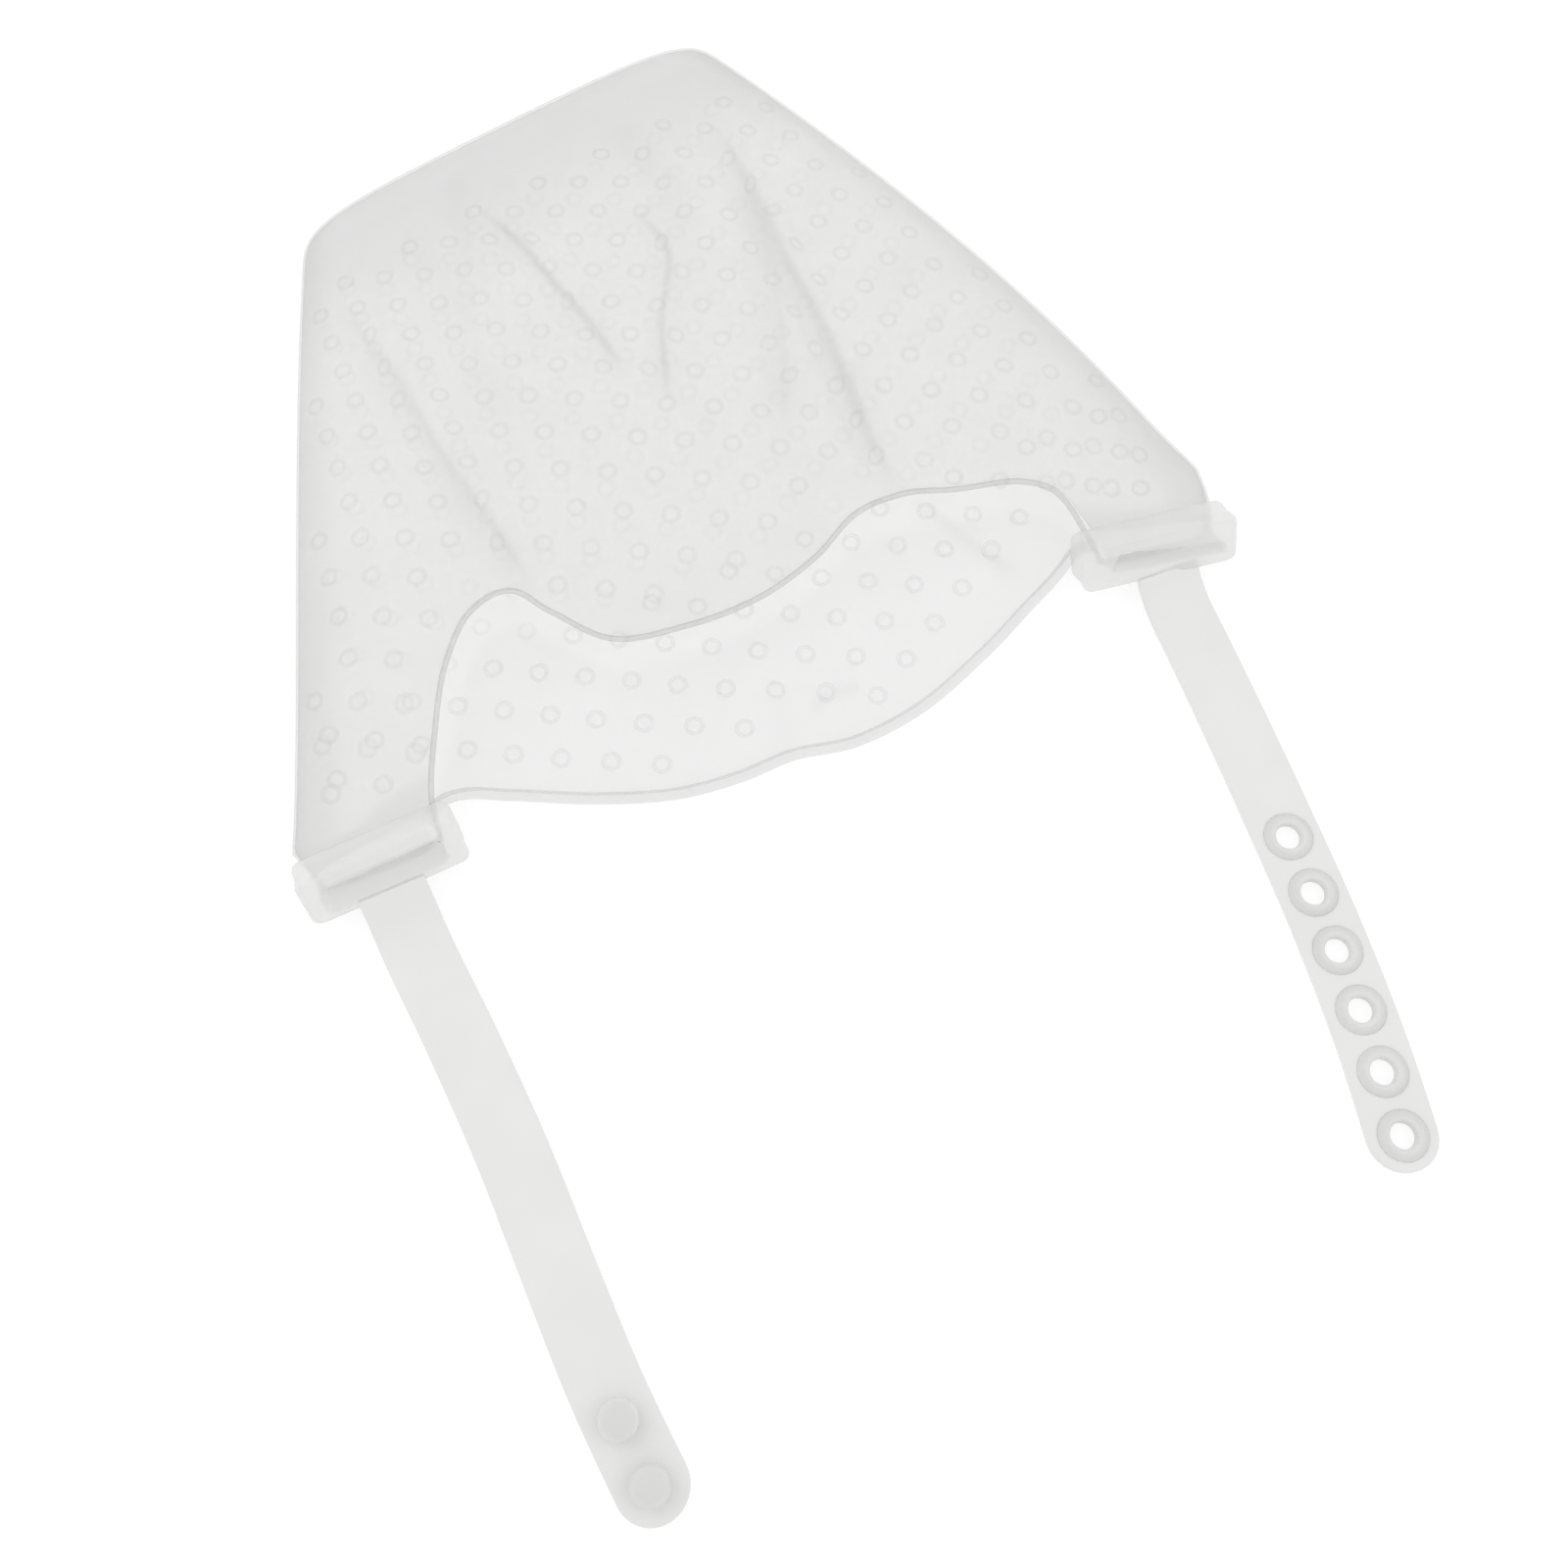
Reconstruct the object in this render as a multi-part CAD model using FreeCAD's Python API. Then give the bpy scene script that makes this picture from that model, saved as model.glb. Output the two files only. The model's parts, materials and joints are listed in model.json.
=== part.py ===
import FreeCAD, Part
import math
import os

# A moulded silicone highlighting cap, lying flat on a table, in millimetres.
# X runs across the cap, +Y runs from the chin straps to the crown, +Z is up.
# The hood is a bag of two layers that meet in a fold along both sides and the crown.
# The origin is moved at the end to the bottom centre of the whole cap.

V = FreeCAD.Vector

# ---- hood -------------------------------------------------------------------------
BASE_HALF_WIDTH = 124.0     # half width where the hood meets the cuffs
CROWN_HALF_WIDTH = 69.0     # half width where the crown corners begin
CUFF_TAPER = 0.28           # how fast the hood narrows again below the cuff line
SIDE_BULGE = 3.4            # how far the side folds bow outwards halfway up
SIDE_DRIFT = 4.5            # how far the middle of the hood drifts to the right
CUFF_LINE = 20.0            # height in Y where BASE_HALF_WIDTH is measured
CROWN_CORNER = 186.0        # height in Y where the crown corners begin
CROWN_DEPTH = 17.0          # from there to the top of the crown
CROWN_SLANT = 0.137         # slope of the crown fold across the cap
HEM_REACH = -18.0           # lowest Y that the bag reaches before the hem is cut
WALL = 1.1                  # silicone wall
FOLD_HEIGHT = 5.0           # height of the side folds above the table
DOME = 22.0                 # how far the upper layer would swell above the fold
UPPER_ROUNDNESS = 2.4       # superellipse exponent of the upper layer
LOWER_ROUNDNESS = 6.0       # the lower layer is almost flat
FLAT_PRESS = 0.25           # how far the table presses the lower layer flat
SECTION_POINTS = 36

FRONT_RIM_WIDTH = 1.8
FRONT_RIM_THICK = 1.8
NAPE_RIM_WIDTH = 2.8
NAPE_RIM_THICK = 2.2

# Plan of the face edge of the upper layer: temple notch, forehead tongue, temple notch.
FACE_EDGE = (
    (-89.5, 6.0), (-87.5, 17.0), (-80.5, 31.0), (-71.0, 46.0), (-61.5, 54.8),
    (-51.5, 55.8), (-45.0, 46.5), (-34.0, 34.0), (-15.0, 29.6), (5.0, 29.2),
    (22.0, 33.0), (36.0, 39.0), (48.0, 39.3), (62.0, 35.4), (79.0, 31.3),
    (86.0, 26.0), (88.3, 14.0), (87.5, 3.0),
)
# Plan of the nape edge of the lower layer.
NAPE_EDGE = (
    (-89.5, 4.0), (-87.2, 13.0), (-80.5, 16.4), (-71.5, 12.0), (-53.0, 2.4), (-34.0, -5.0),
    (-18.0, -7.6), (-3.5, -7.9), (12.0, -11.2), (31.0, -10.0), (53.5, -3.0),
    (71.0, 4.4), (81.5, 8.6), (86.4, 4.0), (87.0, -6.0),
)

# ---- cuffs ------------------------------------------------------------------------
CUFF_WIDTH = 38.6
CUFF_THICK = 13.0
CUFF_DEPTH = 10.0
CUFF_TILT = 35.0            # the mouth faces this far up from level
CUFF_CORNER = 2.4
CUFF_LIFT = 6.0             # height of the lower edge of the mouth
SLOT_WIDTH = 30.6
SLOT_HEIGHT = 6.6
SLOT_CORNER = 1.8
LEFT_CUFF = (-105.0, -0.2, 0.4)     # mouth centre X, mouth lower edge Y, yaw
RIGHT_CUFF = (103.0, -4.1, -10.5)

# ---- chin straps ------------------------------------------------------------------
STRAP_WIDTH = 16.5
STRAP_THICK = 2.0
SOCKET_GAP = 0.3            # clearance round each flexing line
ROOT_RISE = 0.8             # the root meets its cuff this far above the mouth's lower edge
ROOT_RUN = 12.6             # the root comes down to the table in this run
STUD_HEADINGS = (0.0, 3.8, 2.4, -0.2, 0.2, 3.6)
EYELET_HEADINGS = (-3.0, -5.6, -6.6, -7.6, -10.4, -14.0)
STUD_STATIONS = (0.0, ROOT_RUN, 38.0, 66.5, 96.0, 123.0, 153.1)
EYELET_STATIONS = (0.0, ROOT_RUN, 39.0, 66.3, 95.9, 125.5, 156.0)
PITCH = 14.8                # between studs, and between eyelets
EYELET_COUNT = 6
EYELET_RING_R = 6.0
EYELET_HOLE_R = 3.0
EYELET_HEIGHT = 3.2
EYELET_CHAMFER = 0.4
STUD_COUNT = 2
STUD_NECK_R = 3.3
STUD_HEAD_R = 4.75
STUD_NECK_HEIGHT = 3.2
STUD_LAND_HEIGHT = 1.3
STUD_DOME_HEIGHT = 1.2


# ---- the bag ----------------------------------------------------------------------

def rise(y):
    """Fraction of the way from the cuff line to the crown corners."""
    return (y - CUFF_LINE) / (CROWN_CORNER - CUFF_LINE)


def half_width(y):
    u = rise(y)
    if u < 0.0:
        return BASE_HALF_WIDTH - CUFF_TAPER * (CUFF_LINE - y)
    straight = BASE_HALF_WIDTH + (CROWN_HALF_WIDTH - BASE_HALF_WIDTH) * u
    width = straight + 4.0 * SIDE_BULGE * u * (1.0 - u)
    return width * (1.0 - past_corner(y) ** 5) ** 0.2


def past_corner(y):
    """0 below the crown corners, rising to 1 at the top of the crown."""
    return min(1.0, max(0.0, (y - CROWN_CORNER) / CROWN_DEPTH))


def pinch(y):
    """The two layers close towards each other at the crown fold."""
    return (1.0 - past_corner(y) ** 3) ** 0.4


def middle(y):
    u = min(1.0, max(0.0, rise(y)))
    return SIDE_DRIFT * math.sin(math.pi * u ** 0.8) + 1.5 * u


def swell(y):
    """Height of the upper layer above the side folds, on the middle line."""
    u = min(1.0, max(0.02, (CROWN_CORNER + CROWN_DEPTH - y) / 200.0))
    height = 2.4 + DOME * u ** 0.6 * (1.0 - 0.55 * u * u)
    low = max(0.0, 45.0 - y) / 28.0
    return height / (1.0 + 0.85 * low * low)


def slant(y):
    return CROWN_SLANT * min(1.0, max(0.0, (y - 60.0) / 125.0)) ** 2


def power(value, exponent):
    return math.copysign(abs(value) ** exponent, value)


def section_points(y, wall):
    """Closed ring of points round the bag at height y, set in from its outside by wall."""
    width = half_width(y) - wall
    points = []
    for index in range(SECTION_POINTS):
        angle = 2.0 * math.pi * (index + 0.5) / SECTION_POINTS
        upper = math.sin(angle) > 0.0
        roundness = UPPER_ROUNDNESS if upper else LOWER_ROUNDNESS
        tall = (swell(y) if upper else FOLD_HEIGHT + FLAT_PRESS) * pinch(y) - wall
        across = power(math.cos(angle), 2.0 / roundness if upper else 0.5)
        if upper:
            up = power(math.sin(angle), 2.0 / roundness)
        else:
            up = -(1.0 - abs(across) ** roundness) ** (1.0 / roundness)
        x = middle(y) + width * across
        points.append(V(x, y + slant(y) * (x - middle(y)), FOLD_HEIGHT + tall * up))
    return points


def ring_parameters():
    """Spacing of the points round a typical section, shared by every section."""
    points = section_points(90.0, 0.0)
    points.append(points[0])
    spacing = [0.0]
    for before, after in zip(points, points[1:]):
        spacing.append(spacing[-1] + (after - before).Length)
    return [value / spacing[-1] for value in spacing]


def section_wire(y, wall, parameters):
    curve = Part.BSplineCurve()
    curve.interpolate(Points=section_points(y, wall), PeriodicFlag=True, Parameters=parameters)
    return Part.Wire(curve.toShape())


def bag(wall, top_margin):
    """Solid of everything inside the bag's outer surface, set in by wall."""
    parameters = ring_parameters()
    top = CROWN_CORNER + CROWN_DEPTH - top_margin
    heights = [HEM_REACH - wall, 0.0, CUFF_LINE, 36.0, 56.0, 80.0, 105.0, 130.0, 152.0, 170.0]
    heights += [CROWN_CORNER - 4.0]
    heights += [CROWN_CORNER + (top - CROWN_CORNER) * part for part in (0.3, 0.56, 0.74, 0.86, 0.94, 0.975)]
    wires = [section_wire(y, wall, parameters) for y in heights]
    return Part.makeLoft(wires, True, False)


def slab(low_z, high_z):
    reach = 400.0
    return Part.makeBox(2 * reach, 2 * reach, high_z - low_z, V(-reach, -reach, low_z))


def edge_curve(points, shift):
    """Spline through the plan points of an edge, set back by shift towards the crown."""
    curve = Part.BSplineCurve()
    curve.interpolate([V(x, y, 0) for x, y in points])
    if shift:
        moved = []
        for x, y in points:
            tangent = curve.tangent(curve.parameter(V(x, y, 0)))[0]
            moved.append(V(x - tangent.y * shift, y + tangent.x * shift, 0))
        curve.interpolate(moved)
    return curve


def above_edge(points, shift):
    """Prism of all the plan on the crown side of an edge that has been set back by shift."""
    curve = edge_curve(points, shift)
    left = curve.value(curve.FirstParameter)
    right = curve.value(curve.LastParameter)
    far = 300.0
    corners = [right, V(200, right.y, 0), V(200, far, 0), V(-200, far, 0), V(-200, left.y, 0), left]
    border = Part.makePolygon(corners)
    prism = Part.Face(Part.Wire([curve.toShape()] + border.Edges)).extrude(V(0, 0, 60))
    prism.translate(V(0, 0, -5))
    return prism


# ---- cuffs ------------------------------------------------------------------------

def rounded_bar(width, height, length, radius, bottom):
    """Bar along +Y from the XZ plane, with rounded long edges, standing on bottom."""
    box = Part.makeBox(width, length, height, V(-width / 2, 0, bottom))
    long_edges = [edge for edge in box.Edges if abs(edge.tangentAt(edge.FirstParameter).y) > 0.9]
    return box.makeFillet(radius, long_edges)


def cuff_place(place):
    """Placement that takes the cuff's own frame to where it lies.

    In its own frame the mouth is the XZ plane, the sleeve runs back along +Y and the
    lower edge of the mouth is the X axis."""
    x, y, yaw = place
    tilt = FreeCAD.Rotation(V(1, 0, 0), -CUFF_TILT)
    turn = FreeCAD.Rotation(V(0, 0, 1), yaw)
    return FreeCAD.Placement(V(x, y, CUFF_LIFT), turn * tilt)


def placed(shape, placement):
    copy = shape.copy()
    copy.Placement = placement.multiply(copy.Placement)
    return copy


def make_cuff(place):
    outside = rounded_bar(CUFF_WIDTH, CUFF_THICK, CUFF_DEPTH, CUFF_CORNER, 0.0)
    slot_bottom = (CUFF_THICK - SLOT_HEIGHT) / 2
    slot = rounded_bar(SLOT_WIDTH, SLOT_HEIGHT, CUFF_DEPTH + 2, SLOT_CORNER, slot_bottom)
    slot.translate(V(0, -1, 0))
    return placed(outside.cut(slot), cuff_place(place))


def cuff_front(place):
    """Everything in front of the back face of the cuff, for trimming the hood."""
    block = Part.makeBox(CUFF_WIDTH + 14, 60.0, 60.0, V(-CUFF_WIDTH / 2 - 7, CUFF_DEPTH - 60.0, -24.0))
    return placed(block, cuff_place(place))


# ---- straps -----------------------------------------------------------------------

class StrapRoute:
    """Where each flexing line of a strap lies, and which way each length of it runs."""

    def __init__(self, start, headings, stations):
        self.stations = stations
        self.headings = headings
        self.points = [V(start[0], start[1], STRAP_THICK / 2)]
        for index, heading in enumerate(headings):
            run = stations[index + 1] - stations[index]
            self.points.append(self.points[-1] + self.along(heading) * run)

    @staticmethod
    def along(heading):
        angle = math.radians(heading)
        return V(math.sin(angle), -math.cos(angle), 0)

    def hinge_heading(self, index):
        before = self.headings[max(0, index - 1)]
        after = self.headings[min(index, len(self.headings) - 1)]
        return (before + after) / 2

    def hinge_axis(self, index):
        """Across the strap, so that a positive turn lifts the free end."""
        along = self.along(self.hinge_heading(index))
        return V(0, 0, 1).cross(along) * -1.0

    def at_station(self, station):
        index = max(i for i in range(len(self.headings)) if self.stations[i] <= station)
        return self.points[index] + self.along(self.headings[index]) * (station - self.stations[index])


def local_box(origin, heading, low, high):
    """Box given in a frame at origin whose +X runs along the heading and +Z is up."""
    size = V(*high) - V(*low)
    box = Part.makeBox(size.x, size.y, size.z, V(*low))
    along = StrapRoute.along(heading)
    turn = FreeCAD.Rotation(V(0, 0, 1), math.degrees(math.atan2(along.y, along.x)))
    return placed(box, FreeCAD.Placement(origin, turn))


def flex_pin(route, index, radius):
    axis = route.hinge_axis(index)
    length = STRAP_WIDTH + 8.0
    return Part.makeCylinder(radius, length, route.points[index] - axis * (length / 2), axis)


def make_segment(route, index, last):
    """One length of strap: a half round at its near end, a hollow for the next at its far end."""
    half = STRAP_WIDTH / 2
    thin = STRAP_THICK / 2
    heading = route.headings[index]
    run = route.stations[index + 1] - route.stations[index]
    start = route.points[index]
    ribbon = local_box(start, heading, (-4, -half, -thin), (run + 4, half, thin))
    behind = local_box(start, route.hinge_heading(index), (-20, -40, -5), (0, 40, 5))
    body = ribbon.cut(behind)
    body = body.fuse(flex_pin(route, index, thin).common(ribbon))
    if last:
        middle_run = run - half
        straight = local_box(start, heading, (-6, -half - 1, -3), (middle_run, half + 1, 3))
        tip = start + route.along(heading) * middle_run - V(0, 0, 3)
        body = body.common(straight.fuse(Part.makeCylinder(half, 6, tip)))
    else:
        beyond = local_box(route.points[index + 1], route.hinge_heading(index + 1),
                           (0, -40, -5), (20, 40, 5))
        body = body.cut(beyond).cut(flex_pin(route, index + 1, thin + SOCKET_GAP))
    return body.removeSplitter()


def make_root(route, cuff):
    """Curved root that comes down from the lower lip of the cuff and ends level on the table."""
    half = STRAP_WIDTH / 2
    thin = STRAP_THICK / 2
    drop = CUFF_LIFT + ROOT_RISE - thin
    radius = (ROOT_RUN ** 2 + drop ** 2) / (2 * drop)
    sweep = math.degrees(math.asin(ROOT_RUN / radius)) + 5.0
    end = route.points[1]
    heading = route.headings[0]
    axis = V(0, 0, 1).cross(route.along(heading)) * -1.0
    centre = end + V(0, 0, radius) - axis * half
    outer = Part.makeCylinder(radius + thin, STRAP_WIDTH, centre, axis, 360)
    inner = Part.makeCylinder(radius - thin, STRAP_WIDTH, centre, axis, 360)
    ring = outer.cut(inner)
    reach = (radius + thin) * math.sin(math.radians(sweep))
    window = local_box(end, heading, (-reach, -half - 1, -thin - 1), (1.5, half + 1, radius * 0.75))
    root = ring.common(window)
    beyond = local_box(end, route.hinge_heading(1), (0, -40, -5), (20, 40, 30))
    root = root.cut(beyond).cut(flex_pin(route, 1, thin + SOCKET_GAP)).cut(cuff)
    pieces = sorted(root.Solids, key=lambda solid: -solid.Volume)
    return pieces[0]


def make_eyelet(centre):
    bottom = V(centre.x, centre.y, 0)
    ring = Part.makeCylinder(EYELET_RING_R, EYELET_HEIGHT, bottom)
    ring = ring.cut(Part.makeCylinder(EYELET_HOLE_R, EYELET_HEIGHT + 2, bottom - V(0, 0, 1)))
    top_edges = [edge for edge in ring.Edges if abs(edge.BoundBox.ZMin - EYELET_HEIGHT) < 0.01]
    return ring.makeChamfer(EYELET_CHAMFER, top_edges)


def make_stud(centre):
    base = V(centre.x, centre.y, STRAP_THICK)
    neck = Part.makeCylinder(STUD_NECK_R, STUD_NECK_HEIGHT, base)
    land = Part.makeCylinder(STUD_HEAD_R, STUD_LAND_HEIGHT, base + V(0, 0, STUD_NECK_HEIGHT))
    dome_base = base + V(0, 0, STUD_NECK_HEIGHT + STUD_LAND_HEIGHT)
    radius = (STUD_HEAD_R ** 2 + STUD_DOME_HEIGHT ** 2) / (2 * STUD_DOME_HEIGHT)
    ball = Part.makeSphere(radius, dome_base - V(0, 0, radius - STUD_DOME_HEIGHT))
    dome = ball.common(Part.makeCylinder(STUD_HEAD_R, STUD_DOME_HEIGHT + 1, dome_base))
    return neck.fuse(land).fuse(dome).removeSplitter()


# ---- assembly ---------------------------------------------------------------------

def build_hood(nodes):
    outer = bag(0.0, 0.0)
    shell = outer.cut(bag(WALL, 5.0))
    thick_shell = outer.cut(bag(FRONT_RIM_THICK, 7.0))
    upper = slab(FOLD_HEIGHT, 60.0)
    lower = slab(0.0, FOLD_HEIGHT)
    trims = cuff_front(LEFT_CUFF).fuse(cuff_front(RIGHT_CUFF))
    face_all = above_edge(FACE_EDGE, 0.0)
    face_inside = above_edge(FACE_EDGE, FRONT_RIM_WIDTH)
    nape_all = above_edge(NAPE_EDGE, 0.0)
    nape_inside = above_edge(NAPE_EDGE, NAPE_RIM_WIDTH)
    nodes["front_panel"] = shell.common(upper).common(face_inside).cut(trims)
    nodes["front_rim"] = thick_shell.common(upper).common(face_all.cut(face_inside)).cut(trims)
    nodes["back_panel"] = shell.common(lower).common(nape_inside).cut(trims)
    rim = nape_all.cut(nape_inside).common(slab(0.0, NAPE_RIM_THICK))
    nodes["nape_rim"] = rim.cut(trims).common(outer)


def build_strap(nodes, name, route, cuff):
    nodes[name + "_root"] = make_root(route, cuff)
    count = len(route.headings)
    for index in range(1, count):
        nodes["%s_%d" % (name, index)] = make_segment(route, index, index == count - 1)


def eyelet_stations():
    last = EYELET_STATIONS[-1] - STRAP_WIDTH / 2
    return [last - PITCH * (EYELET_COUNT - 1 - index) for index in range(EYELET_COUNT)]


def stud_stations():
    last = STUD_STATIONS[-1] - STRAP_WIDTH / 2
    return [last - PITCH * (STUD_COUNT - 1 - index) for index in range(STUD_COUNT)]


def segment_of(route, station):
    return max(index for index in range(len(route.headings)) if route.stations[index] <= station)


def build_all():
    nodes = {}
    build_hood(nodes)
    nodes["left_cuff"] = make_cuff(LEFT_CUFF)
    nodes["right_cuff"] = make_cuff(RIGHT_CUFF)
    stud_route = StrapRoute((LEFT_CUFF[0] - 0.3, LEFT_CUFF[1] + 0.6), STUD_HEADINGS, STUD_STATIONS)
    eyelet_route = StrapRoute((RIGHT_CUFF[0] + 1.0, RIGHT_CUFF[1] + 0.4), EYELET_HEADINGS, EYELET_STATIONS)
    build_strap(nodes, "stud_strap", stud_route, nodes["left_cuff"])
    build_strap(nodes, "eyelet_strap", eyelet_route, nodes["right_cuff"])
    for number, station in enumerate(stud_stations(), 1):
        nodes["stud_%d" % number] = make_stud(stud_route.at_station(station))
    for number, station in enumerate(eyelet_stations(), 1):
        centre = eyelet_route.at_station(station)
        segment = "eyelet_strap_%d" % segment_of(eyelet_route, station)
        seat = Part.makeCylinder(EYELET_RING_R, 8, V(centre.x, centre.y, -2))
        nodes[segment] = nodes[segment].cut(seat)
        nodes["eyelet_%d" % number] = make_eyelet(centre)
    return nodes, stud_route, eyelet_route


def overall_box(nodes):
    box = FreeCAD.BoundBox()
    for shape in nodes.values():
        box.add(shape.optimalBoundingBox(True, False))
    return box


nodes, stud_route, eyelet_route = build_all()
whole = overall_box(nodes)
shift = V(-whole.Center.x, -whole.Center.y, -whole.ZMin)
os.makedirs("parts", exist_ok=True)
for name, shape in nodes.items():
    moved = shape.copy()
    moved.translate(shift)
    moved.exportStep("parts/%s.step" % name)
    print("%-18s solids %d valid %s volume %.1f" % (name, len(moved.Solids), moved.isValid(), moved.Volume))
print("size %.2f %.2f %.2f" % (whole.XLength, whole.YLength, whole.ZLength))
print("shift %.3f %.3f %.3f" % (shift.x, shift.y, shift.z))
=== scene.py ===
import json
import math

import bmesh
import bpy
import numpy as np
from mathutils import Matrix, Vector


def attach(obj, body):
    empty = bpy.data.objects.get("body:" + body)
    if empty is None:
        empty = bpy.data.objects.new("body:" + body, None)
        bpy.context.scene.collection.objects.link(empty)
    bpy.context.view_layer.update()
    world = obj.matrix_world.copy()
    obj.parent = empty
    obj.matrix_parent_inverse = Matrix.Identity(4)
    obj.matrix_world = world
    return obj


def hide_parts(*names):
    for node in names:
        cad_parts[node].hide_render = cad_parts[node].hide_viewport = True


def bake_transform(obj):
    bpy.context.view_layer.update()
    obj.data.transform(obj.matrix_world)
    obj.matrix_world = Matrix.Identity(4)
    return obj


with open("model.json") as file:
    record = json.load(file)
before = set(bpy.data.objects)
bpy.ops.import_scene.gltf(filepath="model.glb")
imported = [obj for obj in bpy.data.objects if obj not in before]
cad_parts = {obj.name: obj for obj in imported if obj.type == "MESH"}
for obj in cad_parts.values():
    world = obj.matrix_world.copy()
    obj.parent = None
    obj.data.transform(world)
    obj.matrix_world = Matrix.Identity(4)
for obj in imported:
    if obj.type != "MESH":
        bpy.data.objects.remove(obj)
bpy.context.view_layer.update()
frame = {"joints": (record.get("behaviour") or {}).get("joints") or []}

# A soft, milky silicone highlighting cap lying on a pale table. Lengths named in this file are
# millimetres in the cap's own plan; ORIGIN moves them into the shared frame, in metres.

MM = 0.001
scene = bpy.context.scene


def joint_place(name):
    joint = next(j for j in frame["joints"] if j["name"] == name)
    return np.array(joint["pos_m"], float)


STUD_START = (-105.3, 0.4)          # where the stud strap's middle line leaves its cuff
EYELET_START = (104.0, -3.7)        # where the eyelet strap's middle line leaves its cuff
ROOT_RUN = 12.6
ROOT_LAP = 0.8                      # how far the strap runs on inside the cuff's lower lip
STRAP_LIFT = 1.0                    # height of the middle of a strap that lies on the table
ORIGIN = joint_place("stud_strap_root_flex")
ORIGIN = ORIGIN - MM * np.array((STUD_START[0], STUD_START[1] - ROOT_RUN, STRAP_LIFT))

# ---- hood: the same bag as the frame's two panels ---------------------------------
BASE_HALF_WIDTH = 124.0
CROWN_HALF_WIDTH = 69.0
CUFF_TAPER = 0.28
SIDE_BULGE = 3.4
SIDE_DRIFT = 4.5
CUFF_LINE = 20.0
CROWN_CORNER = 186.0
CROWN_DEPTH = 17.0
CROWN_SLANT = 0.137
WALL = 1.1
FOLD_WALL = 0.6                     # the wall is drawn thin along the side and crown folds
FOLD_HEIGHT = 5.0
DOME = 22.0
UPPER_ROUNDNESS = 2.4
LOWER_ROUNDNESS = 6.0
COLUMNS = 300
ROWS = 110
CROWN_ROWS = 16
NOWHERE = -1000.0                   # a height in Y that nothing reaches

FRONT_RIM = (1.4, 1.5)              # width, thickness
NAPE_RIM = (2.8, 2.2)
RIM_CORNER = 0.6
RIM_SAMPLES = 260
RIM_LAP = 0.3                       # how far the thin wall runs into a rim

FACE_EDGE = (
    (-89.5, 6.0), (-87.5, 17.0), (-80.5, 31.0), (-71.0, 46.0), (-61.5, 54.8),
    (-51.5, 55.8), (-45.0, 46.5), (-34.0, 34.0), (-15.0, 29.6), (5.0, 29.2),
    (22.0, 33.0), (36.0, 39.0), (48.0, 39.3), (62.0, 35.4), (79.0, 31.3),
    (86.0, 26.0), (88.3, 14.0), (87.5, 3.0),
)
NAPE_EDGE = (
    (-91.0, 12.5), (-86.5, 15.4), (-80.5, 16.0), (-71.5, 12.0), (-53.0, 2.4), (-34.0, -5.0),
    (-18.0, -7.6), (-3.5, -7.9), (12.0, -11.2), (31.0, -10.0), (53.5, -3.0),
    (71.0, 4.4), (81.5, 8.6), (86.5, 10.5), (91.0, 9.5),
)

# ---- cuffs ------------------------------------------------------------------------
CUFF_HEIGHT = 13.0
CUFF_DEPTH = 10.0
CUFF_TILT = math.radians(35.0)
CUFF_LIFT = 6.0
# Place and turn of each cuff in plan.
LEFT_CUFF = (-105.0, -0.2, math.radians(0.4))
RIGHT_CUFF = (103.0, -4.1, math.radians(-10.5))

# ---- straps -----------------------------------------------------------------------
# Headings (degrees from straight towards the viewer) hold between two stations along the strap.
STRAP_WIDTH = 16.5
STRAP_THICK = 2.0
BEND_REACH = 8.0                    # how far each way from a flexing line bend_with takes two places, which are not used
STUD_HEADINGS = (0.0, 3.8, 2.4, -0.2, 0.2, 3.6)
EYELET_HEADINGS = (-3.0, -5.6, -6.6, -7.6, -10.4, -14.0)
STUD_STATIONS = (0.0, ROOT_RUN, 38.0, 66.5, 96.0, 123.0, 153.1)
EYELET_STATIONS = (0.0, ROOT_RUN, 39.0, 66.3, 95.9, 125.5, 156.0)
PITCH = 14.8                        # from one eyelet or stud to the next
EYELET_COUNT = 6
STUD_COUNT = 2


# ---- small tools ------------------------------------------------------------------

def smooth_step(value, low, high):
    t = np.clip((value - low) / (high - low), 0.0, 1.0)
    return t * t * (3.0 - 2.0 * t)


def distance_along(points):
    steps = np.linalg.norm(np.diff(points, axis=0), axis=1)
    return np.concatenate([[0.0], np.cumsum(steps)])


def spline(points, count):
    """Even samples of a smooth curve through the points (centripetal Catmull-Rom)."""
    p = np.array(points, float)
    p = np.vstack([2 * p[0] - p[1], p, 2 * p[-1] - p[-2]])
    samples = []
    for a, b, c, d in zip(p, p[1:], p[2:], p[3:]):
        t1 = np.linalg.norm(b - a) ** 0.5
        t2 = t1 + np.linalg.norm(c - b) ** 0.5
        t3 = t2 + np.linalg.norm(d - c) ** 0.5
        t = np.linspace(t1, t2, 40, endpoint=False)[:, None]
        ab = (t1 - t) / t1 * a + t / t1 * b
        bc = (t2 - t) / (t2 - t1) * b + (t - t1) / (t2 - t1) * c
        cd = (t3 - t) / (t3 - t2) * c + (t - t2) / (t3 - t2) * d
        abc = (t2 - t) / t2 * ab + t / t2 * bc
        bcd = (t3 - t) / (t3 - t1) * bc + (t - t1) / (t3 - t1) * cd
        samples.append((t2 - t) / (t2 - t1) * abc + (t - t1) / (t2 - t1) * bcd)
    samples = np.vstack(samples + [p[-2][None]])
    along = distance_along(samples)
    even = np.linspace(0.0, along[-1], count)
    return np.stack([np.interp(even, along, samples[:, k]) for k in range(samples.shape[1])], 1)


def directions(curve):
    """Unit directions along a sampled plan curve."""
    tangent = np.gradient(curve, axis=0)
    return tangent / np.linalg.norm(tangent, axis=1)[:, None]


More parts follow.
